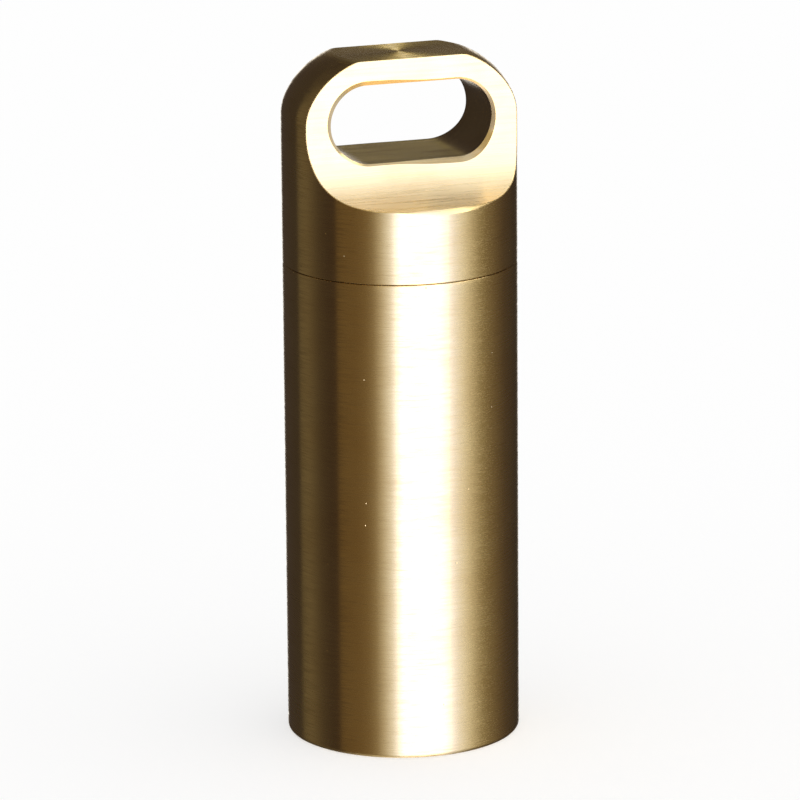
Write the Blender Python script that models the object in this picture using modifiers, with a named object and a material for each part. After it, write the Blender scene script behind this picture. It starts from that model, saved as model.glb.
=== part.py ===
"""Screw-top airtight capsule: a turned bottle, a screw cap with a milled key-ring bail, and a seal ring.

Metres, +Z up. The origin is the centre of the bottle's base, and the bail's flats face -Y and +Y.
The bottle is bored from its mouth. The cap is one bar: its lower half is a round spigot that screws
into the bottle, and its upper half has a rounded crown, two flats with concave run-outs, and a slot.
"""

import math

import bmesh
import bpy

# Round body that the bottle and the cap share
BODY_DIAMETER = 0.0180
BOTTLE_HEIGHT = 0.0373
CAP_HEIGHT = 0.01615

# Bottle: walls are measured inwards from the outside
FLOOR_THICKNESS = 0.0025
STORE_WALL = 0.0022
STORE_CORNER_RADIUS = 0.0008
BASE_EDGE_RADIUS = 0.0004
MOUTH_WALL = 0.0012
MOUTH_CHAMFER = 0.0002

# Thread between the spigot and the bottle, drawn as plain cylinders at its pitch line
THREAD_WALL = 0.0015
THREAD_PITCH = 0.0010
PITCH_LINE_SHARE = 0.3248
THREAD_CLEARANCE = 0.00015
THREAD_LEAD_IN = 0.0006

# Cap below its shoulder
SHOULDER_GAP = 0.00005
SPIGOT_LENGTH = 0.0078
SPIGOT_TIP_CHAMFER = 0.0006
SPIGOT_TIP_CLEARANCE = 0.0005
SEAM_EDGE_BREAK = 0.0001

# Seal ring, squeezed between the groove under the shoulder and the recess in the mouth
RING_SECTION = 0.0015
RING_SQUEEZE = 0.0002
RING_CLEARANCE = 0.00003
GROOVE_SIDE_PLAY = 0.0001

# Bail on top of the cap. The slot takes what its side walls, top bar and foot leave
COLLAR_HEIGHT = 0.0056
RUN_OUT_RADIUS = 0.0054
BAIL_THICKNESS = 0.0060
BAIL_SIDE_WALL = 0.0020
BAIL_TOP_BAR = 0.00188
BAIL_FOOT = 0.00277
SLOT_CHAMFER = 0.00027
CROWN_RADIUS = 0.0065
CROWN_SETBACK = 0.00375
CROWN_DROP = 0.0041

# How far a cutter reaches past what it cuts
CUTTER_OVERRUN = 0.0020

# Facets
AROUND = 96
CROWN_STEPS = 10
EDGE_STEPS = 4
STORE_CORNER_STEPS = 4
RUN_OUT_STEPS = 12
SLOT_END_STEPS = 16
RING_SECTION_SIDES = 14
SHARP_ANGLE = math.radians(28)
WELD_DISTANCE = 0.000001

# Sizes worked out from those above
body_radius = BODY_DIAMETER / 2
shoulder_z = BOTTLE_HEIGHT + SHOULDER_GAP
mouth_radius = body_radius - MOUTH_WALL
store_radius = body_radius - STORE_WALL
pitch_radius = body_radius - THREAD_WALL - PITCH_LINE_SHARE * THREAD_PITCH
thread_bore_radius = pitch_radius + THREAD_CLEARANCE / 2
spigot_radius = pitch_radius - THREAD_CLEARANCE / 2

ring_depth = RING_SECTION - RING_SQUEEZE
ring_height = RING_SECTION + RING_SQUEEZE
groove_radius = mouth_radius - ring_depth - 2 * RING_CLEARANCE
groove_width = ring_height + 2 * GROOVE_SIDE_PLAY
ring_z = shoulder_z - groove_width / 2

bail_half = BAIL_THICKNESS / 2
bail_half_width = math.sqrt(body_radius**2 - bail_half**2)
run_out_z = COLLAR_HEIGHT + RUN_OUT_RADIUS
slot_end_radius = (CAP_HEIGHT - COLLAR_HEIGHT - BAIL_TOP_BAR - BAIL_FOOT) / 2
slot_half_length = bail_half_width - BAIL_SIDE_WALL
slot_z = CAP_HEIGHT - BAIL_TOP_BAR - slot_end_radius


def clear_scene():
    """Removes every object, so that the script can be run again in an open file."""
    for thing in list(bpy.data.objects):
        bpy.data.objects.remove(thing, do_unlink=True)


def new_collection(name):
    """A collection of that name, linked to the scene."""
    collection = bpy.data.collections.get(name) or bpy.data.collections.new(name)
    if name not in bpy.context.scene.collection.children:
        bpy.context.scene.collection.children.link(collection)
    return collection


def new_material(name, colour, metallic, roughness):
    """A Principled material for one piece."""
    material = bpy.data.materials.get(name) or bpy.data.materials.new(name)
    material.use_nodes = True
    shader = material.node_tree.nodes["Principled BSDF"]
    shader.inputs["Base Color"].default_value = (*colour, 1)
    shader.inputs["Metallic"].default_value = metallic
    shader.inputs["Roughness"].default_value = roughness
    material.diffuse_color = (*colour, 1)
    return material


def arc_between(start, end, radius, steps):
    """Points on an arc from start to end that bulges outwards and up."""
    run = end[0] - start[0]
    rise = end[1] - start[1]
    chord = math.hypot(run, rise)
    depth = math.sqrt(radius**2 - chord**2 / 4)
    centre_r = (start[0] + end[0]) / 2 - rise / chord * depth
    centre_z = (start[1] + end[1]) / 2 + run / chord * depth
    first = math.atan2(start[1] - centre_z, start[0] - centre_r)
    last = math.atan2(end[1] - centre_z, end[0] - centre_r)
    angles = [first + (last - first) * step / steps for step in range(steps + 1)]
    return [(centre_r + radius * math.cos(a), centre_z + radius * math.sin(a)) for a in angles]


def quarter_arc(centre, radius, first_degrees, last_degrees, steps):
    """Points on an arc about a known centre, from one angle to another."""
    angles = [
        math.radians(first_degrees + (last_degrees - first_degrees) * step / steps)
        for step in range(steps + 1)
    ]
    return [(centre[0] + radius * math.cos(a), centre[1] + radius * math.sin(a)) for a in angles]


def turned(name, profile, place, collection):
    """A closed solid of revolution about Z: the profile of (radius, height) points under a Screw modifier."""
    mesh = bpy.data.meshes.new(name)
    points = [(radius, 0, height) for radius, height in profile]
    mesh.from_pydata(points, [(i, i + 1) for i in range(len(points) - 1)], [])
    piece = bpy.data.objects.new(name, mesh)
    piece.location = place
    collection.objects.link(piece)
    screw = piece.modifiers.new("turn", "SCREW")
    screw.axis = "Z"
    screw.angle = math.tau
    screw.steps = AROUND
    screw.render_steps = AROUND
    screw.use_merge_vertices = True
    screw.merge_threshold = WELD_DISTANCE
    return piece


def as_cutter(cutter):
    """Marks an object as a tool for Boolean cuts, and not a piece."""
    cutter.hide_render = True
    cutter.display_type = "WIRE"
    return cutter


def extruded_outline(name, outline, half_depth, turn, place, collection):
    """A solid mesh made from a flat curve outline that is extruded both ways."""
    curve = bpy.data.curves.new(name, "CURVE")
    curve.dimensions = "2D"
    curve.fill_mode = "BOTH"
    curve.extrude = half_depth
    spline = curve.splines.new("POLY")
    spline.points.add(len(outline) - 1)
    for point, (across, along) in zip(spline.points, outline):
        point.co = (across, along, 0, 1)
    spline.use_cyclic_u = True
    guide = bpy.data.objects.new(name + "_curve", curve)
    guide.rotation_euler = turn
    guide.location = place
    collection.objects.link(guide)
    bpy.context.view_layer.update()
    mesh = bpy.data.meshes.new_from_object(guide.evaluated_get(bpy.context.evaluated_depsgraph_get()))
    weld_points(mesh)
    solid = bpy.data.objects.new(name, mesh)
    solid.matrix_world = guide.matrix_world
    collection.objects.link(solid)
    bpy.data.objects.remove(guide, do_unlink=True)
    return solid


def weld_points(mesh):
    """Joins the loose caps of a converted curve to its sides."""
    work = bmesh.new()
    work.from_mesh(mesh)
    bmesh.ops.remove_doubles(work, verts=work.verts, dist=WELD_DISTANCE)
    bmesh.ops.recalc_face_normals(work, faces=work.faces)
    work.to_mesh(mesh)
    work.free()


def lofted(name, rings, place, collection):
    """A solid through rings of points that match one to one, closed by a face at each end."""
    work = bmesh.new()
    rows = [[work.verts.new(point) for point in ring] for ring in rings]
    count = len(rows[0])
    for near, far in zip(rows, rows[1:]):
        for i in range(count):
            work.faces.new((near[i], near[(i + 1) % count], far[(i + 1) % count], far[i]))
    work.faces.new(rows[0])
    work.faces.new(list(reversed(rows[-1])))
    bmesh.ops.recalc_face_normals(work, faces=work.faces)
    mesh = bpy.data.meshes.new(name)
    work.to_mesh(mesh)
    work.free()
    solid = bpy.data.objects.new(name, mesh)
    solid.location = place
    collection.objects.link(solid)
    return solid


def cut(piece, cutter):
    """Takes the cutter's shape out of the piece."""
    boolean = piece.modifiers.new(cutter.name, "BOOLEAN")
    boolean.operation = "DIFFERENCE"
    boolean.solver = "EXACT"
    boolean.object = cutter


def settle(piece, material):
    """Applies the piece's modifiers, smooths its round faces and gives it its material."""
    bpy.context.view_layer.update()
    mesh = bpy.data.meshes.new_from_object(piece.evaluated_get(bpy.context.evaluated_depsgraph_get()))
    piece.modifiers.clear()
    piece.data = mesh
    mesh.shade_smooth()
    mesh.set_sharp_from_angle(angle=SHARP_ANGLE)
    mesh.materials.clear()
    mesh.materials.append(material)


def bottle_profile():
    """From the middle of the floor, up the bore to the mouth, and down the outside to the base."""
    thread_bottom = shoulder_z - SPIGOT_LENGTH - SPIGOT_TIP_CLEARANCE
    recess_bottom = shoulder_z - groove_width
    floor_corner = (store_radius - STORE_CORNER_RADIUS, FLOOR_THICKNESS + STORE_CORNER_RADIUS)
    base_corner = (body_radius - BASE_EDGE_RADIUS, BASE_EDGE_RADIUS)
    return [
        (0, FLOOR_THICKNESS),
        *quarter_arc(floor_corner, STORE_CORNER_RADIUS, -90, 0, STORE_CORNER_STEPS),
        (store_radius, thread_bottom - THREAD_LEAD_IN),
        (thread_bore_radius, thread_bottom),
        (thread_bore_radius, recess_bottom),
        (mouth_radius, recess_bottom),
        (mouth_radius, BOTTLE_HEIGHT - MOUTH_CHAMFER),
        (mouth_radius + MOUTH_CHAMFER, BOTTLE_HEIGHT),
        (body_radius - SEAM_EDGE_BREAK, BOTTLE_HEIGHT),
        (body_radius, BOTTLE_HEIGHT - SEAM_EDGE_BREAK),
        *quarter_arc(base_corner, BASE_EDGE_RADIUS, 0, -90, EDGE_STEPS),
        (0, 0),
    ]


def cap_profile():
    """From the middle of the crown, down the outside to the shoulder, and down the spigot to its tip."""
    crown_edge = (body_radius - CROWN_SETBACK, CAP_HEIGHT)
    crown_foot = (body_radius, CAP_HEIGHT - CROWN_DROP)
    crown = arc_between(crown_foot, crown_edge, CROWN_RADIUS, CROWN_STEPS)
    return [
        (0, CAP_HEIGHT),
        *reversed(crown),
        (body_radius, SEAM_EDGE_BREAK),
        (body_radius - SEAM_EDGE_BREAK, 0),
        (groove_radius, 0),
        (groove_radius, -groove_width),
        (spigot_radius, -groove_width),
        (spigot_radius, SPIGOT_TIP_CHAMFER - SPIGOT_LENGTH),
        (spigot_radius - SPIGOT_TIP_CHAMFER, -SPIGOT_LENGTH),
        (0, -SPIGOT_LENGTH),
    ]


def milled_face(height):
    """How far the bail's face is from the middle plane at a height. It flares out in the run-out."""
    drop = min(max(run_out_z - height, 0), RUN_OUT_RADIUS)
    return bail_half + RUN_OUT_RADIUS - math.sqrt(RUN_OUT_RADIUS**2 - drop**2)


def flat_outline():
    """What one pass of the mill takes off a side, as (distance from the middle plane, height)."""
    outside = body_radius + CUTTER_OVERRUN
    above = CAP_HEIGHT + CUTTER_OVERRUN
    run_out = quarter_arc((bail_half + RUN_OUT_RADIUS, run_out_z), RUN_OUT_RADIUS, 180, 270, RUN_OUT_STEPS)
    return [(bail_half, above), *run_out, (outside, COLLAR_HEIGHT), (outside, above)]


def slot_ring(offset, side, reach):
    """The slot's outline, offset outwards, laid on one milled face and moved reach beyond it."""
    radius = slot_end_radius + offset
    straight = slot_half_length - slot_end_radius
    ring = []
    for end in (1, -1):
        for step in range(SLOT_END_STEPS + 1):
            angle = end * math.pi * (step / SLOT_END_STEPS - 1 / 2)
            x = end * (straight + radius * math.cos(angle))
            z = slot_z + radius * math.sin(angle)
            ring.append((x, side * (milled_face(z) + reach), z))
    return ring


def cap_cutters(place, collection):
    """The mill's two side passes as one mirrored tool, and the slot with its chamfered rims."""
    turn = (math.pi / 2, 0, math.pi / 2)
    half_depth = body_radius + CUTTER_OVERRUN
    sides = extruded_outline("side_passes", flat_outline(), half_depth, turn, place, collection)
    mirror = sides.modifiers.new("other_side", "MIRROR")
    mirror.use_axis = (True, False, False)
    mirror.use_mirror_merge = False
    slot_rings = [
        slot_ring(SLOT_CHAMFER + CUTTER_OVERRUN, -1, CUTTER_OVERRUN),
        slot_ring(0, -1, -SLOT_CHAMFER),
        slot_ring(0, 1, -SLOT_CHAMFER),
        slot_ring(SLOT_CHAMFER + CUTTER_OVERRUN, 1, CUTTER_OVERRUN),
    ]
    slot = lofted("slot_pass", slot_rings, place, collection)
    return [as_cutter(sides), as_cutter(slot)]


def build_bottle(collection):
    """The turned and bored bottle, which stands on its flat base."""
    bottle = turned("bottle", bottle_profile(), (0, 0, 0), collection)
    settle(bottle, new_material("bottle_brass", (0.80, 0.62, 0.33), 1.0, 0.32))
    return bottle


def build_cap(collection, cutters):
    """The cap, turned as one bar and then milled. Its origin is on the screw's axis, at the shoulder."""
    place = (0, 0, shoulder_z)
    cap = turned("cap", cap_profile(), place, collection)
    for cutter in cap_cutters(place, cutters):
        cut(cap, cutter)
    settle(cap, new_material("cap_brass", (0.82, 0.64, 0.35), 1.0, 0.28))
    return cap


def build_seal_ring(collection):
    """The rubber ring as it lies when the cap is shut, its section squeezed thinner and taller."""
    bpy.ops.mesh.primitive_torus_add(
        major_segments=AROUND,
        minor_segments=RING_SECTION_SIDES,
        major_radius=groove_radius + RING_CLEARANCE + ring_depth / 2,
        minor_radius=ring_depth / 2,
        location=(0, 0, ring_z),
    )
    ring = bpy.context.object
    ring.name = "seal_ring"
    ring.data.name = "seal_ring"
    for point in ring.data.vertices:
        point.co.z *= ring_height / ring_depth
    for holder in list(ring.users_collection):
        holder.objects.unlink(ring)
    collection.objects.link(ring)
    settle(ring, new_material("seal_rubber", (0.03, 0.03, 0.032), 0.0, 0.55))
    return ring


def main():
    clear_scene()
    capsule = new_collection("airtight_bottle")
    cutters = new_collection("cutters")
    build_bottle(capsule)
    build_cap(capsule, cutters)
    build_seal_ring(capsule)


main()
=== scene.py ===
"""Looks of the screw-top capsule: brushed brass with real threads and edges, a rubber ring, a studio.

Metres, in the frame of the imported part. The dressed bottle, cap and ring stand for the CAD nodes and
take their outer sizes from them. Each mesh is made of patches that carry their own normals and UVs.
A patch is rows of corners, and a corner is (point, normal, (u, v)). A turned strip is a list of
(radius, height, tilt), where the tilt is how many degrees the surface's normal points up from level.
Angles round the axis are in radians and count anticlockwise from +X, seen from above.
"""

import math

import bmesh
import bpy
from mathutils import Matrix, Vector


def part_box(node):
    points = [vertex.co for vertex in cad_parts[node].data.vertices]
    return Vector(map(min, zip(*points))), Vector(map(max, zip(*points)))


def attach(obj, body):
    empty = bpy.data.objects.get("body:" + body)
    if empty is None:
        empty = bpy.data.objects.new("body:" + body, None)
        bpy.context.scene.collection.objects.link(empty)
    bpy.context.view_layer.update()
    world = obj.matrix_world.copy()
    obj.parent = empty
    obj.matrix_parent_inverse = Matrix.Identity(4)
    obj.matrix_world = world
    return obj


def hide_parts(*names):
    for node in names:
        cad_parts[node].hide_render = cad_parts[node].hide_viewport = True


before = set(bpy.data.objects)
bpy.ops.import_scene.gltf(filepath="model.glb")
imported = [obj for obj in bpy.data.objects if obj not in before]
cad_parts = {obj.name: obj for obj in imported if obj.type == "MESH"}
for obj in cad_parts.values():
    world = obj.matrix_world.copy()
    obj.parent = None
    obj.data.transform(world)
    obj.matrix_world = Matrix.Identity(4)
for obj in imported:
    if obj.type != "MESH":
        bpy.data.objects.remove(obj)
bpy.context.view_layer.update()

# Outer sizes that the CAD nodes give
bottle_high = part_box("bottle")[1]
cap_low, cap_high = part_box("cap")
ring_low, ring_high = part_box("seal_ring")
BODY_RADIUS = bottle_high.x
RIM = bottle_high.z
TOP = cap_high.z
TIP = cap_low.z

# Inner sizes, the same as in the CAD
SHOULDER_GAP = 0.00005
SHOULDER = RIM + SHOULDER_GAP
STORE_FLOOR = 0.0025
STORE_RADIUS = 0.0068
STORE_CORNER = 0.0008
BASE_EDGE = 0.0004
MOUTH_RADIUS = 0.0078
MOUTH_CHAMFER = 0.0002
GROOVE_RADIUS = 0.00644
GROOVE_WIDTH = 0.0019
GROOVE_FOOT = SHOULDER - GROOVE_WIDTH
RING_CLEARANCE = 0.00003
TIP_CHAMFER = 0.0006
TIP_CLEARANCE = 0.0005

# Bail, the same as in the CAD. The slot's two ends are half rounds of radius SLOT_END
COLLAR_HEIGHT = 0.0056
COLLAR_TOP = SHOULDER + COLLAR_HEIGHT
RUN_OUT_RADIUS = 0.0054
RUN_OUT_Z = COLLAR_TOP + RUN_OUT_RADIUS
BAIL_HALF = 0.0030
BAIL_SIDE_WALL = 0.0020
BAIL_TOP_BAR = 0.00188
BAIL_FOOT = 0.00277
CROWN_RADIUS = 0.0065
CROWN_SETBACK = 0.00375
CROWN_DROP = 0.0041
SLOT_END = (TOP - COLLAR_TOP - BAIL_TOP_BAR - BAIL_FOOT) / 2
SLOT_STRAIGHT = math.sqrt(BODY_RADIUS**2 - BAIL_HALF**2) - BAIL_SIDE_WALL - SLOT_END
SLOT_Z = TOP - BAIL_TOP_BAR - SLOT_END

# Lengths down the milled face, from its top edge to the start and the end of its run-out
RUN_OUT_START = TOP - RUN_OUT_Z
RUN_OUT_END = RUN_OUT_START + RUN_OUT_RADIUS * math.pi / 2

# Thread of 1 mm pitch, which the CAD leaves out: crest and root radii of each side, each crest's flat
# as a share of the pitch, the length over which an end fades, and the plain lands above the threads
PITCH = 0.0010
CAP_CREST = 0.00746
CAP_ROOT = 0.00690
CAP_CREST_SHARE = 0.14
BOTTLE_CREST = 0.00696
BOTTLE_ROOT = 0.00755
BOTTLE_CREST_SHARE = 0.22
FLANK_SLOPE = math.tan(math.radians(60))
THREAD_FADE = 0.0006
BOTTLE_LAND = 0.0006
CAP_LAND = 0.0004
CAP_LAND_SLOPE = 0.0004
CAP_THREAD_TOP = GROOVE_FOOT - CAP_LAND - CAP_LAND_SLOPE

# Blends at the crown's two ends, where the CAD has a plain arc
CROWN_WALL_BLEND = 0.0040
CROWN_TOP_BLEND = 0.0015

# The bail's broken edges, which the CAD leaves sharp. At the right of the run-out's foot they are wide
# and nearly flat. A share says how far from its corner an edge's middle lies, and 0.5 is a plain cut
EDGE_BREAK = 0.00007
EDGE_SHARE = 0.29
FOOT_BREAK = 0.00034
FOOT_SHARE = 0.48
FOOT_BREAK_HEIGHT = 0.0008
FOOT_BREAK_ENDS = (-0.0035, 0.0056)
FOOT_BREAK_SOFTNESS = 0.0040
FOOT_FLATNESS = 0.8

# A level just below the broken edges of the collar
COLLAR_LEVEL = COLLAR_TOP - FOOT_BREAK * 1.5

# Seam: its broken edges, a little finer than the CAD's, and a rim that rolls in by a tilt in degrees
SEAM_BREAK = 0.00008
RIM_ROLL = 16
RIM_ROLL_RADIUS = 0.0012

# The slot's chamfer, cut by hand where the CAD's is even: its mean width, how much the width swings and
# the direction where it is widest, its depth for its width, and how much of that its left end lacks
SLOT_CHAMFER = 0.00025
CHAMFER_SWING = 0.45
CHAMFER_WIDEST = math.radians(-38)
CHAMFER_DEPTH = 0.58
CHAMFER_EASE = 0.65

# The ring's section, where an exponent of 1 is an ellipse and less is squarer, and its mould's flash
RING_EXPONENT = 0.86
FLASH = 0.00002

# Facets. A thread's edges show as sharp past an angle
AROUND = 192
EDGE_STEPS = 5
WALL_STEPS = 12
FACE_STEPS = 8
TOP_STEPS = 36
BLEND_STEPS = 6
CROWN_STEPS = 16
RUN_OUT_STEPS = 27
SIDE_STEPS = 2 * BLEND_STEPS + CROWN_STEPS + 1 + RUN_OUT_STEPS
FOOT_STEPS = 20
POST_STEPS = 64
MILLED_STEPS = 16
RING_STEPS = 40
WELD = 0.0000002
THREAD_EDGE = math.radians(32)

# UV maps, in metres: turned faces unroll from the back, and above them lie the cap's milled faces, its
# chamfers and its broken edges, each as (front, back), and its slot. An atlas is a whole map's width
UV_MAP = "OFBake"
CORNER_NORMAL = "corner_normal"
UV_START = math.pi / 2
BOTTLE_ATLAS = 0.1080
CAP_ATLAS = 0.0720
RING_ATLAS = 0.0600
MILLED_PLACES = ((0, 0.0470), (0.0190, 0.0470))
CHAMFER_PLACES = ((0, 0.0632), (0, 0.0704))
EDGE_PLACES = ((0, 0.0711), (0, 0.0716))
SLOT_PLACE = (0, 0.0640)

# The cap's materials, by number
TURNED, MILLED, SLOTTED = range(3)

# Brushing: long streaks and short, fine dashes, each with its length for its width, its scale and its
# detail. The streaks' depth is in metres, and the dashes' and the pits' are multiples of it
STREAK_RATIO = 30
STREAK_SCALE = 170
STREAK_DETAIL = 3
STREAK_DEPTH = 0.000006
DASH_RATIO = 14
DASH_SCALE = 750
DASH_DETAIL = 1
DASH_DEPTH = 0.25

# Pits, one in a share of the cells: their radius is a share of a cell's width
PIT_SCALE = 900
PIT_RADIUS = 0.060
PIT_SHARE = 0.15
PIT_DEPTH = 5.5

# Brass, clean and dull, with clouds that go from dull to clean between two levels of a noise. Its
# highlights are drawn out across the brushing, which is a quarter turn from the UV map's U
BRASS = (0.80, 0.60, 0.28)
BRASS_DULL = (0.76, 0.555, 0.250)
CLOUD_SCALE = 260
CLOUD_DETAIL = 3
CLOUD_ENDS = (0.35, 0.6)
LEAST_ROUGHNESS = 0.08
ANISOTROPY = 1
ANISOTROPY_TURN = 0.25

# Each kind of face: whether its streaks are squeezed along x, y and z, the roughness that its streaks
# add, that its dashes add and that it has without them, and its painted shade, a factor on its colour
# where 1 is the brass's own colour. The slot's 0.68 paints shade into the slot, and its chamfers share
# it
GRAINS = {
    "turned": ((0, 0, 1), 0.26, 0.40, -0.07, 1),
    "milled": ((0, 1, 1), 0.26, 0, 0.16, 1),
    # Darker brass in the slot and on its chamfers: painted shade for the slot
    "slotted": ((0, 1, 0), 0.24, 0, 0.03, 0.68),
}

# Rubber, which goes from dark to light between two levels of its grain
RUBBER_COLOURS = ((0.018, 0.018, 0.020), (0.034, 0.034, 0.036))
RUBBER_ENDS = (0.3, 0.7)
RUBBER_SCALE = 2600
RUBBER_DETAIL = 4
RUBBER_DEPTH = 0.00001
RUBBER_ROUGHNESS = 0.38
RUBBER_GRAIN_ROUGHNESS = 0.25

# Camera, fitted to the photograph's edges. Its sensor is in millimetres, and its focal length and its
# shift are in widths of the picture
CAMERA_AZIMUTH = math.radians(-19.498)
CAMERA_ELEVATION = math.radians(14.576)
CAMERA_ROLL = math.radians(-0.461)
CAMERA_DISTANCE = 0.46945
CAMERA_AIM = 0.026117
CAMERA_CLIP = (0.01, 10)
SENSOR = 36
FOCAL_IN_WIDTHS = 7.6183
SHIFT_IN_WIDTHS = -0.00133

# Studio. Levels are red, green and blue, where 1 shows white as white. Angles are in degrees, and
# azimuths count to the right from the camera's side
FLOOR_RADIUS = 2.5
FLOOR_COLOUR = 0.98
FLOOR_WHITENESS = 0.55
WORLD_LEVEL = 1.0
SURROUND_RADIUS = 3.0
AZIMUTH_STEP = 3
ELEVATION_STEP = 4
WALL_STOPS = [
    (-180, (0.058, 0.046, 0.042)),
    (-119, (0.055, 0.045, 0.040)),
    (-117, (0.150, 0.128, 0.090)),
    (-104, (0.150, 0.125, 0.090)),
    (-87, (0.072, 0.056, 0.045)),
    (-75, (0.055, 0.040, 0.034)),
    (-66, (0.060, 0.042, 0.034)),
    (-64, (0.150, 0.106, 0.058)),
    (-44, (0.160, 0.112, 0.062)),
    (-34, (0.200, 0.148, 0.090)),
    (-26, (0.30, 0.25, 0.19)),
    (-19, (0.58, 0.56, 0.58)),
    (-10, (1.04, 1.14, 1.55)),
    (-5, (1.5, 1.75, 3.0)),
    (1, (3.6, 3.6, 4.8)),
    (41, (3.6, 3.6, 4.1)),
    (48, (1.55, 1.75, 3.1)),
    (55, (1.12, 1.25, 1.9)),
    (62, (0.96, 1.02, 1.3)),
    (70, (0.73, 0.74, 0.78)),
    (77, (0.51, 0.49, 0.46)),
    (85, (0.325, 0.295, 0.225)),
    (93, (0.24, 0.205, 0.145)),
    (107, (0.16, 0.128, 0.092)),
    (122, (0.088, 0.068, 0.054)),
    (150, (0.045, 0.036, 0.030)),
    (180, (0.058, 0.046, 0.042)),
]

# Cards over the walls, each over those before it: its azimuths and their softness, its elevations and
# theirs, and its level. Ends past every direction leave a card without an edge there
ALL_ROUND = (-400, 400)
PAST_POLE = 200
CARDS = [
    # All round, low down
    (ALL_ROUND, 1, (-PAST_POLE, -52), 24, (0.62, 0.58, 0.52)),
    # Right of the camera, high
    ((-8, 90), 20, (36, 78), 12, (1.5, 1.8, 3.4)),
    # Over the camera
    ((-30, 24), 9, (22, PAST_POLE), 9, (0.90, 0.82, 0.62)),
    # All round, overhead
    (ALL_ROUND, 1, (70, PAST_POLE), 8, (0.90, 0.82, 0.62)),
    # Behind, from a little above level up to overhead
    ((150, 192), 14, (17, PAST_POLE), 22, (1.0, 0.98, 0.58)),
    # Behind, just above level
    ((156, 196), 8, (2, 25), 7, (0.130, 0.108, 0.074)),
    # Right and behind, high and overhead
    ((60, 200), 30, (50, PAST_POLE), 22, (1.17, 1.32, 1.65)),
    # Right, a bright one half way up
    ((56, 120), 10, (32, 66), 9, (3.4, 3.4, 3.4)),
    # Behind, from level down
    ((166, 194), 6, (-80, 6), 6, (1.6, 1.6, 1.6)),
]


def smooth_share(value):
    """A share from 0 to 1 that starts and ends gently."""
    share = min(max(value, 0), 1)
    return share * share * (3 - 2 * share)


def window(value, ends, softness):
    """How far a value is inside two ends, from 0 to 1, with soft edges."""
    return smooth_share((value - ends[0]) / softness) * smooth_share((ends[1] - value) / softness)


def spread(first, last, steps):
    """Evenly spaced numbers, both ends included."""
    return [first + (last - first) * i / steps for i in range(steps + 1)]


def mixed(first, second, share):
    """Numbers that lie a share of the way from the first ones to the second ones."""
    return [a + (b - a) * share for a, b in zip(first, second)]


# Turned strips


def flat(start, end, steps=1):
    """A straight strip between two (radius, height) points, with the metal on the left of its way."""
    tilt = math.degrees(math.atan2(start[0] - end[0], end[1] - start[1]))
    pairs = zip(spread(start[0], end[0], steps), spread(start[1], end[1], steps))
    return [(radius, height, tilt) for radius, height in pairs]


def bend(centre, radius, first, last, steps=EDGE_STEPS):
    """A round strip about a centre, from one tilt to another. A negative radius makes it hollow."""
    strip = []
    for tilt in spread(first, last, steps):
        angle = math.radians(tilt)
        strip.append((centre[0] + radius * math.cos(angle), centre[1] + radius * math.sin(angle), tilt))
    return strip


def thread(low, high, crest, root, crest_share, middle):
    """A 60 degree thread between two heights. One crest's middle is at a third where the UVs start."""
    half_crest = crest_share / 2
    half_ridge = half_crest + abs(crest - root) / FLANK_SLOPE / PITCH
    ridge = [(-half_ridge, root), (-half_crest, crest), (half_crest, crest), (half_ridge, root)]
    turns = range(math.floor((low - middle) / PITCH) - 1, math.ceil((high - middle) / PITCH) + 1)
    rows = [(radius, middle + (turn + share) * PITCH) for turn in turns for share, radius in ridge]
    return {"rows": rows, "low": low, "high": high, "plain": root}


def thread_point(helix, radius, start, angle):
    """A thread row's point at an angle. It climbs with the helix, and both its ends fade out."""
    height = start + PITCH * (angle - UV_START) / math.tau
    height = min(max(height, helix["low"]), helix["high"])
    inside = min(height - helix["low"], helix["high"] - height)
    radius = helix["plain"] + (radius - helix["plain"]) * smooth_share(inside / THREAD_FADE)
    return radius, height, None


def strip_at(strip, angle):
    """A strip's points at an angle. Only a thread changes with it."""
    if isinstance(strip, dict):
        return [thread_point(strip, *row, angle) for row in strip["rows"]]
    return strip


def strip_lengths(strip, along):
    """How far along the profile a strip's rows are. A thread's rows past its ends count in full."""
    points = strip["rows"] if isinstance(strip, dict) else strip
    lengths = [along]
    for here, there in zip(points, points[1:]):
        lengths.append(lengths[-1] + math.dist(here[:2], there[:2]))
    return lengths


def turned_normal(tilt, angle):
    """The normal of a turned face that has a tilt, at an angle round the axis."""
    around = Vector((math.cos(angle), math.sin(angle), 0))
    return around * math.cos(math.radians(tilt)) + Vector((0, 0, 1)) * math.sin(math.radians(tilt))


def turned_corner(radius, height, tilt, angle, along):
    """A corner on a turned face. Without a tilt its normal is left to the mesh."""
    around = Vector((math.cos(angle), math.sin(angle), 0))
    point = around * radius + Vector((0, 0, 1)) * height
    normal = Vector((0, 0, 0)) if tilt is None else turned_normal(tilt, angle)
    return point, normal, ((angle - UV_START) * BODY_RADIUS, along)


# Meshes


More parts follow.
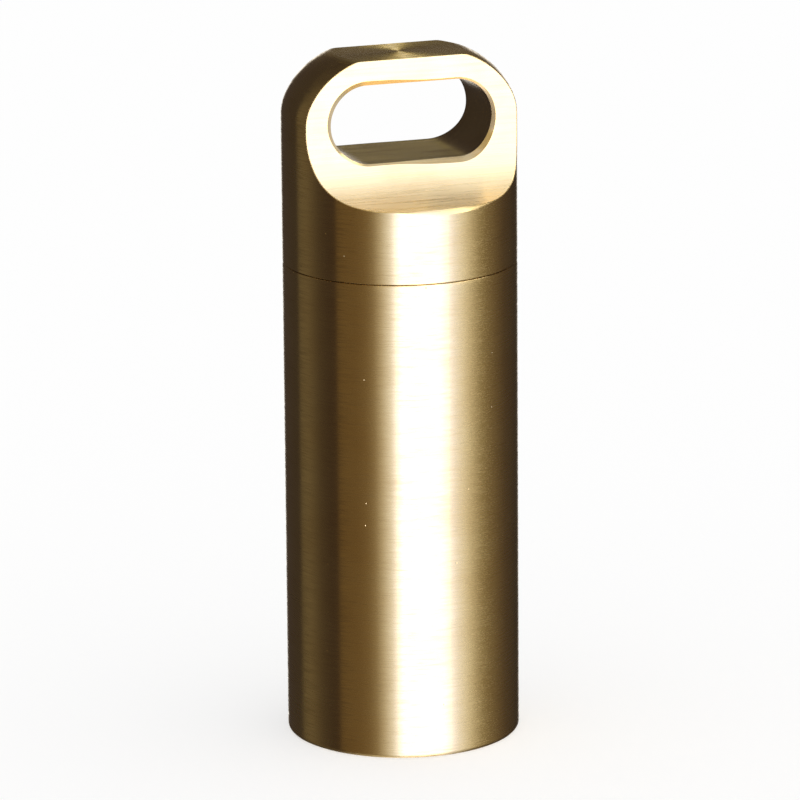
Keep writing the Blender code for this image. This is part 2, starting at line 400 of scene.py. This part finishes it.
class Skin:
    """A closed mesh in the making, out of patches."""

    def __init__(self, atlas):
        self.atlas = atlas
        self.work = bmesh.new()
        self.uv = self.work.loops.layers.uv.new(UV_MAP)
        self.normal = self.work.loops.layers.float_vector.new(CORNER_NORMAL)

    def patch(self, rows, place=(0, 0), material=TURNED):
        """Adds quads between rows of corners."""
        verts = [[self.work.verts.new(corner[0]) for corner in row] for row in rows]
        for i in range(len(rows) - 1):
            for j in range(len(rows[i]) - 1):
                spots = ((i, j), (i, j + 1), (i + 1, j + 1), (i + 1, j))
                face = self.work.faces.new([verts[row][column] for row, column in spots])
                face.material_index = material
                face.smooth = True
                for loop, (row, column) in zip(face.loops, spots):
                    _, loop[self.normal], (u, v) = rows[row][column]
                    loop[self.uv].uv = ((u + place[0]) / self.atlas, (v + place[1]) / self.atlas)

    def turn(self, strips, angles, along=0):
        """Adds turned strips, and returns how far along the profile they end."""
        for strip in strips:
            lengths = strip_lengths(strip, along)
            columns = [strip_at(strip, angle) for angle in angles]
            rows = [
                [turned_corner(*column[i], angle, length) for column, angle in zip(columns, angles)]
                for i, length in enumerate(lengths)
            ]
            self.patch(rows)
            along = lengths[-1]
        return along

    def close(self, name, materials):
        """Welds the patches into one piece."""
        bmesh.ops.remove_doubles(self.work, verts=self.work.verts, dist=WELD)
        bmesh.ops.dissolve_degenerate(self.work, edges=self.work.edges, dist=WELD)
        bmesh.ops.recalc_face_normals(self.work, faces=self.work.faces)
        mesh = new_mesh(name, self.work)
        mesh.set_sharp_from_angle(angle=THREAD_EDGE)
        corners = mesh.attributes[CORNER_NORMAL]
        mesh.normals_split_custom_set([Vector(corner.vector) for corner in corners.data])
        mesh.attributes.remove(mesh.attributes[CORNER_NORMAL])
        for material in materials:
            mesh.materials.append(material)
        return new_piece(name, mesh)


def new_mesh(name, work):
    """A mesh out of finished work."""
    mesh = bpy.data.meshes.new(name)
    work.to_mesh(mesh)
    work.free()
    return mesh


def new_piece(name, mesh):
    """An object for a mesh, in the scene."""
    piece = bpy.data.objects.new(name, mesh)
    bpy.context.scene.collection.objects.link(piece)
    return piece


# Bottle


def bottle_strips():
    """The bottle's outside and inside: base, wall, rim, recess for the ring, thread, relief, store."""
    thread_low = TIP - TIP_CLEARANCE
    thread_high = GROOVE_FOOT - BOTTLE_LAND
    crest_middle = SHOULDER + PITCH / 2
    helix = thread(thread_low, thread_high, BOTTLE_CREST, BOTTLE_ROOT, BOTTLE_CREST_SHARE, crest_middle)
    helix["rows"].reverse()
    relief = thread_low - (BOTTLE_ROOT - STORE_RADIUS)
    corner = (STORE_RADIUS - STORE_CORNER, STORE_FLOOR + STORE_CORNER)
    roll = math.radians(RIM_ROLL)
    roll_reach = RIM_ROLL_RADIUS - SEAM_BREAK
    edge_x = BODY_RADIUS - SEAM_BREAK - roll_reach * (1 - math.cos(roll))
    roll_z = RIM - SEAM_BREAK - roll_reach * math.sin(roll)
    return [
        flat((0, 0), (BODY_RADIUS - BASE_EDGE, 0), FACE_STEPS),
        bend((BODY_RADIUS - BASE_EDGE, BASE_EDGE), BASE_EDGE, -90, 0),
        flat((BODY_RADIUS, BASE_EDGE), (BODY_RADIUS, roll_z), WALL_STEPS),
        bend((BODY_RADIUS - RIM_ROLL_RADIUS, roll_z), RIM_ROLL_RADIUS, 0, RIM_ROLL),
        bend((edge_x, RIM - SEAM_BREAK), SEAM_BREAK, RIM_ROLL, 90),
        flat((edge_x, RIM), (MOUTH_RADIUS + MOUTH_CHAMFER, RIM)),
        flat((MOUTH_RADIUS + MOUTH_CHAMFER, RIM), (MOUTH_RADIUS, RIM - MOUTH_CHAMFER)),
        flat((MOUTH_RADIUS, RIM - MOUTH_CHAMFER), (MOUTH_RADIUS, GROOVE_FOOT)),
        flat((MOUTH_RADIUS, GROOVE_FOOT), (BOTTLE_ROOT, GROOVE_FOOT - MOUTH_CHAMFER)),
        flat((BOTTLE_ROOT, GROOVE_FOOT - MOUTH_CHAMFER), (BOTTLE_ROOT, thread_high)),
        helix,
        flat((BOTTLE_ROOT, thread_low), (STORE_RADIUS, relief)),
        flat((STORE_RADIUS, relief), (STORE_RADIUS, corner[1]), WALL_STEPS),
        bend(corner, -STORE_CORNER, 180, 90),
        flat((corner[0], STORE_FLOOR), (0, STORE_FLOOR), FACE_STEPS),
    ]


def build_bottle():
    """The turned bottle."""
    skin = Skin(BOTTLE_ATLAS)
    skin.turn(bottle_strips(), spread(UV_START, UV_START + math.tau, AROUND))
    bottle = skin.close("bottle_body", [brushed_brass("bottle_turned", "turned")])
    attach(bottle, "bottle")
    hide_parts("bottle")


# The cap's outline


def crown():
    """The cap's rounded crown, from its flat top down to its wall, with a blend at each end."""
    foot = Vector((BODY_RADIUS, TOP - CROWN_DROP))
    chord = Vector((-CROWN_SETBACK, CROWN_DROP))
    depth = math.sqrt(CROWN_RADIUS**2 - chord.length_squared / 4)
    centre = foot + chord / 2 + Vector((-chord.y, chord.x)).normalized() * depth
    wall_x = BODY_RADIUS - CROWN_WALL_BLEND - centre.x
    wall_z = math.sqrt((CROWN_RADIUS - CROWN_WALL_BLEND) ** 2 - wall_x**2)
    top_z = TOP - CROWN_TOP_BLEND - centre.y
    top_x = math.sqrt((CROWN_RADIUS - CROWN_TOP_BLEND) ** 2 - top_z**2)
    wall_tilt = math.degrees(math.atan2(wall_z, wall_x))
    top_tilt = math.degrees(math.atan2(top_z, top_x))
    return [
        *bend(centre + Vector((top_x, top_z)), CROWN_TOP_BLEND, 90, top_tilt, BLEND_STEPS),
        *bend(centre, CROWN_RADIUS, top_tilt, wall_tilt, CROWN_STEPS)[1:],
        *bend(centre + Vector((wall_x, wall_z)), CROWN_WALL_BLEND, wall_tilt, 0, BLEND_STEPS)[1:],
    ]


def milled_place(along):
    """The milled face at a length down from its top: its distance from the middle, height and turn."""
    turn = min(max((along - RUN_OUT_START) / RUN_OUT_RADIUS, 0), math.pi / 2)
    distance = BAIL_HALF + RUN_OUT_RADIUS * (1 - math.cos(turn)) + max(along - RUN_OUT_END, 0)
    return distance, TOP - min(along, RUN_OUT_START) - RUN_OUT_RADIUS * math.sin(turn), turn


def milled_length(height):
    """The length down the milled face at a height."""
    below = max(RUN_OUT_Z - height, 0)
    return min(TOP - height, RUN_OUT_START) + RUN_OUT_RADIUS * math.asin(below / RUN_OUT_RADIUS)


def milled_corner(x, along):
    """A corner on the front milled face."""
    distance, height, turn = milled_place(along)
    normal = Vector((0, -math.cos(turn), math.sin(turn)))
    return Vector((x, -distance, height)), normal, (x + BODY_RADIUS, along)


def outline():
    """The front face's outline, clockwise from its top left corner: (x, length down, turned tilt)."""
    side = []
    for radius, height, tilt in crown():
        side.append((math.sqrt(radius**2 - BAIL_HALF**2), TOP - height, tilt))
    for along in spread(RUN_OUT_START, RUN_OUT_END, RUN_OUT_STEPS):
        side.append((math.sqrt(BODY_RADIUS**2 - milled_place(along)[0] ** 2), along, 0))
    top = [(x, 0, 90) for x in spread(-side[0][0], side[0][0], TOP_STEPS)]
    swing = math.asin(side[-1][0] / BODY_RADIUS)
    reach = milled_place(RUN_OUT_END)[0]
    foot = [
        (BODY_RADIUS * math.sin(angle), RUN_OUT_END + BODY_RADIUS * math.cos(angle) - reach, 0)
        for angle in spread(swing, -swing, FOOT_STEPS)
    ]
    left = [(-x, along, tilt) for x, along, tilt in reversed(side)]
    return top[:-1] + side[:-1] + foot[:-1] + left[:-1]


def foot_break_share(x, height):
    """How much of the foot's wide break an edge has at a place, from 0 to 1."""
    near_foot = smooth_share(1 - (height - COLLAR_TOP) / FOOT_BREAK_HEIGHT)
    return near_foot * window(x, FOOT_BREAK_ENDS, FOOT_BREAK_SOFTNESS)


def broken_corner(before, here, after):
    """The edge broken at a place of the outline: on the turned face, half way, on the milled face."""
    x, along, tilt = here
    point, face_normal, _ = milled_corner(x, along)
    side_normal = turned_normal(tilt, math.atan2(point.y, point.x))
    between = (side_normal + face_normal).normalized()
    wide = foot_break_share(x, point.z)
    width = EDGE_BREAK + (FOOT_BREAK - EDGE_BREAK) * wide
    way = (milled_corner(*after[:2])[0] - milled_corner(*before[:2])[0]).normalized()
    outer = point + side_normal.cross(way) * width
    if point.z < COLLAR_TOP + WELD:
        outer = point - Vector((0, 0, width))
    if tilt == 0 or outer.xy.length > BODY_RADIUS:
        outer.xy = outer.xy.normalized() * BODY_RADIUS
    flat_way = Vector((after[0] - before[0], after[1] - before[1])).normalized()
    inner, inner_normal, uv = milled_corner(x - flat_way.y * width, along + flat_way.x * width)
    middle = point + (outer + inner - point * 2) * (EDGE_SHARE + (FOOT_SHARE - EDGE_SHARE) * wide)
    flatness = wide * FOOT_FLATNESS
    return (
        (outer, side_normal.lerp(between, flatness).normalized(), tilt),
        (middle, between),
        (inner, inner_normal.lerp(between, flatness).normalized(), uv),
    )


def broken_edge():
    """Three rows round the outline: on the turned face with tilts, half way, and on the milled face."""
    loop = outline()
    places = zip([loop[-1], *loop[:-1]], loop, [*loop[1:], loop[0]])
    return [list(row) for row in zip(*(broken_corner(*place) for place in places))]


# The slot


def slot_loop():
    """The slot's outline in step with the face's: the middle of its curve, and the way outwards."""
    up = math.pi / 2
    top = [(x, up) for x in spread(-SLOT_STRAIGHT, SLOT_STRAIGHT, TOP_STEPS)]
    right = [(SLOT_STRAIGHT, angle) for angle in spread(up, -up, SIDE_STEPS)]
    bottom = [(x, -up) for x in spread(SLOT_STRAIGHT, -SLOT_STRAIGHT, FOOT_STEPS)]
    left = [(-SLOT_STRAIGHT, angle) for angle in spread(-up, -3 * up, SIDE_STEPS)]
    return top[:-1] + right[:-1] + bottom[:-1] + left[:-1]


def slot_point(x, angle, offset):
    """A point on the slot's outline, moved outwards: (x, height)."""
    reach = SLOT_END + offset
    return x + reach * math.cos(angle), SLOT_Z + reach * math.sin(angle)


def slot_normal(angle):
    """The slot wall's normal, which points into the slot."""
    return Vector((-math.cos(angle), 0, -math.sin(angle)))


def chamfer_width(x, angle):
    """How wide the slot's chamfer is. It is widest at two opposite corners."""
    x, height = slot_point(x, angle, 0)
    direction = math.atan2(height - SLOT_Z, x)
    return SLOT_CHAMFER * (1 + CHAMFER_SWING * math.cos(2 * (direction - CHAMFER_WIDEST)))


def chamfer_slope(angle):
    """How deep the slot's chamfer is for its width. It is shallowest at the slot's left end."""
    return CHAMFER_DEPTH * (1 - CHAMFER_EASE * smooth_share(-math.cos(angle)))


def chamfer_rim(x, angle):
    """Where the front chamfer meets the milled face: (x, length down)."""
    rim_x, rim_z = slot_point(x, angle, chamfer_width(x, angle))
    return rim_x, milled_length(rim_z)


def slot_front(x, angle):
    """Where the front chamfer meets the slot's wall."""
    slot_x, slot_z = slot_point(x, angle, 0)
    distance = milled_place(milled_length(slot_z))[0]
    return Vector((slot_x, chamfer_width(x, angle) * chamfer_slope(angle) - distance, slot_z))


# The cap's patches


def closed(row):
    """A row that ends where it starts."""
    return [*row, row[0]]


def mirrored(rows):
    """Rows of corners on the back, from those on the front."""
    flip = Vector((1, -1, 1))
    return [[(point * flip, normal * flip, uv) for point, normal, uv in row] for row in rows]


def path_lengths(points):
    """How far each point of a path is from its start."""
    lengths = [0]
    for here, there in zip(points, points[1:]):
        lengths.append(lengths[-1] + (there - here).length)
    return lengths


def with_uvs(rows):
    """Rows of (point, normal, ...) as corners: U runs along the first row, and V across the rows."""
    lengths = path_lengths([corner[0] for corner in rows[0]])
    heights = path_lengths([row[0][0] for row in rows])
    return [
        [(corner[0], corner[1], (u, v)) for corner, u in zip(row, lengths)]
        for row, v in zip(rows, heights)
    ]


def milled_rows(edge):
    """The front face, from the rim of the slot's chamfer out to the broken edge."""
    rims = [chamfer_rim(x, angle) for x, angle in slot_loop()]
    outer = [(corner[2][0] - BODY_RADIUS, corner[2][1]) for corner in edge]
    rows = []
    for share in spread(0, 1, MILLED_STEPS):
        places = [mixed(rim, end, share) for rim, end in zip(rims, outer)]
        rows.append(closed([milled_corner(*place) for place in places]))
    return rows


def chamfer_rows():
    """The front chamfer, from its rim on the milled face to the slot's wall."""
    rows = [[], []]
    for x, angle in slot_loop():
        rim, face_normal, _ = milled_corner(*chamfer_rim(x, angle))
        normal = (face_normal + slot_normal(angle) * chamfer_slope(angle)).normalized()
        rows[0].append((rim, normal))
        rows[1].append((slot_front(x, angle), normal))
    return [closed(row) for row in rows]


def slot_rows():
    """The slot's wall, from the front chamfer to the back one."""
    rows = []
    for share in spread(1, -1, FACE_STEPS):
        row = []
        for x, angle in slot_loop():
            front = slot_front(x, angle)
            row.append((Vector((front.x, front.y * share, front.z)), slot_normal(angle)))
        rows.append(closed(row))
    return rows


def post_angles(point, middle):
    """Angles across a post round its middle, from a point of the front's outline to its twin behind."""
    reach = math.atan2(-point.y, abs(point.x))
    return spread(middle - reach, middle + reach, POST_STEPS)


def post_rows(side, middle, along):
    """The turned outside of a post and its end of the crown, from the collar up."""
    rows = []
    before = (BODY_RADIUS, COLLAR_LEVEL)
    for point, _, tilt in side:
        here = (point.xy.length, point.z)
        along += math.dist(here, before)
        before = here
        rows.append([turned_corner(*here, tilt, angle, along) for angle in post_angles(point, middle)])
    return rows


def top_rows(edge, left_post, right_post):
    """The flat top, as rings that shrink to its middle."""
    front = [corner[0] for corner in edge[: TOP_STEPS + 1]]
    back = [point * Vector((-1, -1, 1)) for point in front]
    left, right = ([corner[0] for corner in post[-1]] for post in (left_post, right_post))
    half = TOP_STEPS // 2
    ring = back[half:-1] + left[:-1] + front[:-1] + right[:-1] + back[: half + 1]
    angles = [UV_START + (math.atan2(point.y, point.x) - UV_START) % math.tau for point in ring]
    angles[0] = UV_START
    angles[-1] = UV_START + math.tau
    widest, _, (_, along) = right_post[-1][0]
    rows = []
    for share in spread(1, 0, FACE_STEPS):
        row = []
        for point, angle in zip(ring, angles):
            v = along + widest.xy.length - point.xy.length * share
            uv = ((angle - UV_START) * BODY_RADIUS, v)
            row.append((Vector((point.x * share, point.y * share, TOP)), Vector((0, 0, 1)), uv))
        rows.append(row)
    return rows


def collar_rim(foot, left_start, right_start):
    """The collar's upper edge as (angle, height), all the way round from the back."""
    points = [corner[0] for corner in reversed(foot)]
    front = [(math.atan2(point.y, point.x) % math.tau, point.z) for point in points]
    back = [(math.tau - angle, height) for angle, height in reversed(front)]
    again = [(angle + math.tau, height) for angle, height in back]
    left = [(angle, left_start.z) for angle in post_angles(left_start, math.pi)]
    right = [(angle, right_start.z) for angle in post_angles(right_start, math.tau)]
    half = FOOT_STEPS // 2
    return back[half:-1] + left[:-1] + front[:-1] + right[:-1] + again[: half + 1]


def collar_rows(rim, along):
    """The last of the collar, from a level ring up to its rim."""
    level = [turned_corner(BODY_RADIUS, COLLAR_LEVEL, 0, angle, along) for angle, _ in rim]
    edge = [turned_corner(BODY_RADIUS, z, 0, angle, along + z - COLLAR_LEVEL) for angle, z in rim]
    return [level, edge]


def cap_strips():
    """The cap's turned surface, from the middle of the spigot's tip to just below the collar's rim."""
    thread_low = TIP + TIP_CHAMFER
    land_low = GROOVE_FOOT - CAP_LAND
    return [
        flat((0, TIP), (CAP_ROOT - TIP_CHAMFER, TIP), FACE_STEPS),
        flat((CAP_ROOT - TIP_CHAMFER, TIP), (CAP_ROOT, thread_low)),
        thread(thread_low, CAP_THREAD_TOP, CAP_CREST, CAP_ROOT, CAP_CREST_SHARE, SHOULDER),
        flat((CAP_ROOT, CAP_THREAD_TOP), (CAP_CREST, land_low)),
        flat((CAP_CREST, land_low), (CAP_CREST, GROOVE_FOOT)),
        flat((CAP_CREST, GROOVE_FOOT), (GROOVE_RADIUS, GROOVE_FOOT)),
        flat((GROOVE_RADIUS, GROOVE_FOOT), (GROOVE_RADIUS, SHOULDER)),
        flat((GROOVE_RADIUS, SHOULDER), (BODY_RADIUS - SEAM_BREAK, SHOULDER)),
        bend((BODY_RADIUS - SEAM_BREAK, SHOULDER + SEAM_BREAK), SEAM_BREAK, -90, 0),
        flat((BODY_RADIUS, SHOULDER + SEAM_BREAK), (BODY_RADIUS, COLLAR_LEVEL), WALL_STEPS),
    ]


def add_turned(skin, edge):
    """Adds all that is turned: the spigot and the collar, the posts and the top."""
    right_end = TOP_STEPS + SIDE_STEPS
    left_end = right_end + FOOT_STEPS
    right_side = edge[TOP_STEPS : right_end + 1][::-1]
    foot = edge[right_end : left_end + 1]
    left_side = closed(edge)[left_end:]
    rim = collar_rim(foot, left_side[0][0], right_side[0][0])
    along = skin.turn(cap_strips(), [angle for angle, _ in rim])
    skin.patch(collar_rows(rim, along))
    left_post = post_rows(left_side, math.pi, along)
    right_post = post_rows(right_side, math.tau, along)
    skin.patch(left_post)
    skin.patch(right_post)
    skin.patch(top_rows(edge, left_post, right_post))


def add_milled(skin, edge_rows):
    """Adds all that is milled: broken edges, faces and chamfers on both sides, and the slot's wall."""
    patches = (
        (with_uvs([closed(row) for row in edge_rows]), EDGE_PLACES, MILLED),
        (milled_rows(edge_rows[-1]), MILLED_PLACES, MILLED),
        (with_uvs(chamfer_rows()), CHAMFER_PLACES, SLOTTED),
    )
    for rows, (front_place, _), material in patches:
        skin.patch(rows, front_place, material)
    for rows, (_, back_place), material in patches:
        skin.patch(mirrored(rows), back_place, material)
    skin.patch(with_uvs(slot_rows()), SLOT_PLACE, SLOTTED)


def build_cap():
    """The cap: its turned spigot and collar, and above them the milled bail with its slot."""
    edge_rows = broken_edge()
    skin = Skin(CAP_ATLAS)
    add_turned(skin, edge_rows[0])
    add_milled(skin, edge_rows)
    materials = [
        brushed_brass("cap_turned", "turned"),
        brushed_brass("cap_milled", "milled"),
        brushed_brass("cap_slotted", "slotted"),
    ]
    cap = skin.close("cap_body", materials)
    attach(cap, "cap")
    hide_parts("cap")


# Seal ring


def signed_power(value, exponent):
    """A power that keeps the value's sign."""
    return math.copysign(abs(value) ** exponent, value)


def ring_strip():
    """The ring's section as squeezed, with the fine flash that its mould leaves inside and outside."""
    inner = GROOVE_RADIUS + RING_CLEARANCE
    half_depth = (ring_high.x - inner) / 2 - FLASH
    half_height = (ring_high.z - ring_low.z) / 2
    centre = ((ring_high.x + inner) / 2, (ring_high.z + ring_low.z) / 2)
    strip = []
    for step in range(RING_STEPS + 1):
        angle = math.tau * step / RING_STEPS
        across = signed_power(math.cos(angle), RING_EXPONENT)
        up = signed_power(math.sin(angle), RING_EXPONENT)
        flash = FLASH if step % (RING_STEPS // 2) == 0 else 0
        strip.append((centre[0] + (half_depth + flash) * across, centre[1] + half_height * up, None))
    return strip


def build_ring():
    """The seal ring, squeezed between the cap's groove and the bottle's recess."""
    skin = Skin(RING_ATLAS)
    skin.turn([ring_strip()], spread(UV_START, UV_START + math.tau, AROUND))
    ring = skin.close("seal_ring_body", [nitrile_rubber()])
    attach(ring, "seal")
    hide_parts("seal_ring")


# Materials


def new_material(name):
    """A material, its node tree, and its Principled shader."""
    material = bpy.data.materials.new(name)
    material.use_nodes = True
    return material, material.node_tree, material.node_tree.nodes["Principled BSDF"]


def math_node(tree, operation, first, second=None):
    """A Math node's output, from sockets or plain numbers."""
    node = tree.nodes.new("ShaderNodeMath")
    node.operation = operation
    for socket, value in zip(node.inputs, (first, second)):
        if isinstance(value, bpy.types.NodeSocket):
            tree.links.new(value, socket)
        elif value is not None:
            socket.default_value = value
    return node.outputs[0]


def plus_scaled(tree, base, value, factor):
    """A base plus a value times a factor."""
    return math_node(tree, "ADD", math_node(tree, "MULTIPLY", value, factor), base)


def noise(tree, vector, scale, detail):
    """A noise texture's value at a vector."""
    node = tree.nodes.new("ShaderNodeTexNoise")
    node.inputs["Scale"].default_value = scale
    node.inputs["Detail"].default_value = detail
    tree.links.new(vector, node.inputs["Vector"])
    return node.outputs["Fac"]


def ramp(tree, value, ends, colours):
    """A colour that goes from the first of two to the second, between two ends of a value."""
    node = tree.nodes.new("ShaderNodeValToRGB")
    for stop, position, colour in zip(node.color_ramp.elements, ends, colours):
        stop.position = position
        stop.color = (*colour, 1)
    tree.links.new(value, node.inputs["Fac"])
    return node.outputs["Color"]


def add_bump(tree, shader, height, depth):
    """Links a height to the shader's normal, as a bump that is so deep in metres."""
    bump = tree.nodes.new("ShaderNodeBump")
    bump.inputs["Distance"].default_value = depth
    tree.links.new(height, bump.inputs["Height"])
    tree.links.new(bump.outputs[0], shader.inputs["Normal"])


def stretched(tree, place, squeeze, ratio):
    """A place squeezed across the brushing, so that a noise there is drawn out along it.

    Where only z is squeezed, the distance from the axis counts with it, so that level faces have rings.
    """
    parts = tree.nodes.new("ShaderNodeSeparateXYZ")
    tree.links.new(place, parts.inputs[0])
    x, y, z = parts.outputs
    if squeeze[:2] == (0, 0):
        squares = math_node(tree, "ADD", math_node(tree, "POWER", x, 2), math_node(tree, "POWER", y, 2))
        z = math_node(tree, "ADD", z, math_node(tree, "SQRT", squares))
    joined = tree.nodes.new("ShaderNodeCombineXYZ")
    for value, across, socket in zip((x, y, z), squeeze, joined.inputs):
        tree.links.new(math_node(tree, "MULTIPLY", value, ratio if across else 1), socket)
    return joined.outputs[0]


def pits(tree, place):
    """Small scattered pits: 1 in their middle, 0 around them."""
    cells = tree.nodes.new("ShaderNodeTexVoronoi")
    cells.inputs["Scale"].default_value = PIT_SCALE
    tree.links.new(place, cells.inputs["Vector"])
    distance = math_node(tree, "DIVIDE", cells.outputs["Distance"], PIT_RADIUS)
    near = math_node(tree, "MAXIMUM", math_node(tree, "SUBTRACT", 1, distance), 0)
    chosen = tree.nodes.new("ShaderNodeSeparateColor")
    tree.links.new(cells.outputs["Color"], chosen.inputs[0])
    return math_node(tree, "MULTIPLY", near, math_node(tree, "LESS_THAN", chosen.outputs[0], PIT_SHARE))


def draw_out_highlights(tree, shader):
    """Draws the highlights out across the brushing."""
    shader.inputs["Anisotropic"].default_value = ANISOTROPY
    shader.inputs["Anisotropic Rotation"].default_value = ANISOTROPY_TURN
    tangent = tree.nodes.new("ShaderNodeTangent")
    tangent.direction_type = "UV_MAP"
    tangent.uv_map = UV_MAP
    tree.links.new(tangent.outputs[0], shader.inputs["Tangent"])


def brushed_brass(name, grain):
    """Brass with brushing in its bump and its roughness, dull clouds and small pits."""
    material, tree, shader = new_material(name)
    squeeze, streak_roughness, dash_roughness, plain_roughness, painted_shade_tone = GRAINS[grain]
    place = tree.nodes.new("ShaderNodeTexCoord").outputs["Object"]
    streaks = noise(tree, stretched(tree, place, squeeze, STREAK_RATIO), STREAK_SCALE, STREAK_DETAIL)
    dashes = noise(tree, stretched(tree, place, squeeze, DASH_RATIO), DASH_SCALE, DASH_DETAIL)
    clouds = noise(tree, place, CLOUD_SCALE, CLOUD_DETAIL)
    # A factor below 1 darkens the brass as painted shade
    colours = [[level * painted_shade_tone for level in colour] for colour in (BRASS_DULL, BRASS)]
    tree.links.new(ramp(tree, clouds, CLOUD_ENDS, colours), shader.inputs["Base Color"])
    roughness = plus_scaled(tree, plain_roughness, streaks, streak_roughness)
    roughness = plus_scaled(tree, roughness, dashes, dash_roughness)
    roughness = math_node(tree, "MAXIMUM", roughness, LEAST_ROUGHNESS)
    tree.links.new(roughness, shader.inputs["Roughness"])
    shader.inputs["Metallic"].default_value = 1
    draw_out_highlights(tree, shader)
    height = plus_scaled(tree, streaks, dashes, DASH_DEPTH)
    height = plus_scaled(tree, height, pits(tree, place), -PIT_DEPTH)
    add_bump(tree, shader, height, STREAK_DEPTH)
    return material


def nitrile_rubber():
    """Black moulded rubber with a faint matt grain."""
    material, tree, shader = new_material("nitrile_rubber")
    place = tree.nodes.new("ShaderNodeTexCoord").outputs["Object"]
    grain = noise(tree, place, RUBBER_SCALE, RUBBER_DETAIL)
    tree.links.new(ramp(tree, grain, RUBBER_ENDS, RUBBER_COLOURS), shader.inputs["Base Color"])
    roughness = plus_scaled(tree, RUBBER_ROUGHNESS, grain, RUBBER_GRAIN_ROUGHNESS)
    tree.links.new(roughness, shader.inputs["Roughness"])
    add_bump(tree, shader, grain, RUBBER_DEPTH)
    return material


# Studio


def wall_level(azimuth):
    """The level of the walls at an azimuth, between the stops on both sides of it."""
    for (start, low), (end, high) in zip(WALL_STOPS, WALL_STOPS[1:]):
        if azimuth <= end:
            break
    return mixed(low, high, (azimuth - start) / (end - start))


def surround_level(azimuth, elevation):
    """The studio's level in a direction: its walls, and the cards over them."""
    level = wall_level(azimuth)
    for sides, side_softness, heights, height_softness, card in CARDS:
        cover = max(window(azimuth + turn, sides, side_softness) for turn in (0, 360))
        cover *= window(elevation, heights, height_softness)
        level = mixed(level, card, cover)
    return level


def surround_vertices(work, azimuths, elevations):
    """The surround's vertices, a row for each azimuth from straight down to straight up."""
    rows = []
    for azimuth in azimuths:
        turn = CAMERA_AZIMUTH + math.radians(azimuth)
        around = Vector((math.sin(turn), -math.cos(turn), 0))
        row = []
        for rise in map(math.radians, elevations):
            direction = around * math.cos(rise) + Vector((0, 0, math.sin(rise)))
            row.append(work.verts.new(direction * SURROUND_RADIUS))
        rows.append(row)
    return rows


def surround_mesh():
    """A ball round the object, with the studio's level in every corner of its faces."""
    azimuths = sorted({*range(-180, 181, AZIMUTH_STEP), *(stop[0] for stop in WALL_STOPS)})
    elevations = [*range(-90, 91, ELEVATION_STEP)]
    work = bmesh.new()
    colour = work.loops.layers.float_color.new("level")
    rows = surround_vertices(work, azimuths, elevations)
    for i in range(len(azimuths) - 1):
        for j in range(len(elevations) - 1):
            corners = ((i, j), (i + 1, j), (i + 1, j + 1), (i, j + 1))
            face = work.faces.new([rows[a][b] for a, b in corners])
            for loop, (a, b) in zip(face.loops, corners):
                loop[colour] = (*surround_level(azimuths[a], elevations[b]), 1)
    return new_mesh("surround", work)


def build_surround():
    """Walls and cards all round, which only gloss sees. They give the metal light and dark bands."""
    surround = new_piece("surround", surround_mesh())
    material, tree, shader = new_material("surround")
    glow = tree.nodes.new("ShaderNodeEmission")
    level = tree.nodes.new("ShaderNodeVertexColor")
    level.layer_name = "level"
    tree.links.new(level.outputs["Color"], glow.inputs["Color"])
    tree.links.new(glow.outputs[0], tree.nodes["Material Output"].inputs["Surface"])
    tree.nodes.remove(shader)
    surround.data.materials.append(material)
    surround.visible_camera = False
    surround.visible_diffuse = False
    surround.visible_shadow = False


def build_floor():
    """A plain pale floor, which keeps the object's shadow."""
    work = bmesh.new()
    bmesh.ops.create_circle(work, cap_ends=True, segments=AROUND, radius=FLOOR_RADIUS)
    floor = new_piece("floor", new_mesh("floor", work))
    material, tree, shader = new_material("floor_paper")
    shader.inputs["Base Color"].default_value = (FLOOR_COLOUR, FLOOR_COLOUR, FLOOR_COLOUR, 1)
    shader.inputs["Roughness"].default_value = 1
    shader.inputs["Specular IOR Level"].default_value = 0
    white = tree.nodes.new("ShaderNodeEmission")
    seen = tree.nodes.new("ShaderNodeLightPath").outputs["Is Camera Ray"]
    mix = tree.nodes.new("ShaderNodeMixShader")
    tree.links.new(math_node(tree, "MULTIPLY", seen, FLOOR_WHITENESS), mix.inputs[0])
    tree.links.new(shader.outputs[0], mix.inputs[1])
    tree.links.new(white.outputs[0], mix.inputs[2])
    tree.links.new(mix.outputs[0], tree.nodes["Material Output"].inputs["Surface"])
    floor.data.materials.append(material)
    floor.visible_glossy = False


def build_world():
    """An even white light from all round."""
    world = bpy.data.worlds.new("studio")
    bpy.context.scene.world = world
    world.use_nodes = True
    world.node_tree.nodes["Background"].inputs["Color"].default_value = (1, 1, 1, 1)
    world.node_tree.nodes["Background"].inputs["Strength"].default_value = WORLD_LEVEL


def build_camera():
    """The photograph's camera."""
    camera = bpy.data.objects.new("camera", bpy.data.cameras.new("camera"))
    bpy.context.scene.collection.objects.link(camera)
    azimuth, elevation = CAMERA_AZIMUTH, CAMERA_ELEVATION
    level = Vector((math.sin(azimuth), -math.cos(azimuth), 0)) * math.cos(elevation)
    back = level + Vector((0, 0, math.sin(elevation)))
    place = Matrix.Translation(back * CAMERA_DISTANCE + Vector((0, 0, CAMERA_AIM)))
    turn = back.to_track_quat("Z", "Y").to_matrix().to_4x4()
    camera.matrix_world = place @ turn @ Matrix.Rotation(CAMERA_ROLL, 4, "Z")
    camera.data.sensor_width = SENSOR
    camera.data.lens = FOCAL_IN_WIDTHS * SENSOR
    camera.data.shift_x = SHIFT_IN_WIDTHS
    camera.data.clip_start, camera.data.clip_end = CAMERA_CLIP
    bpy.context.scene.camera = camera


build_camera()
build_world()
build_floor()
build_surround()
build_bottle()
build_cap()
build_ring()
bpy.context.scene.view_settings.view_transform = "Standard"
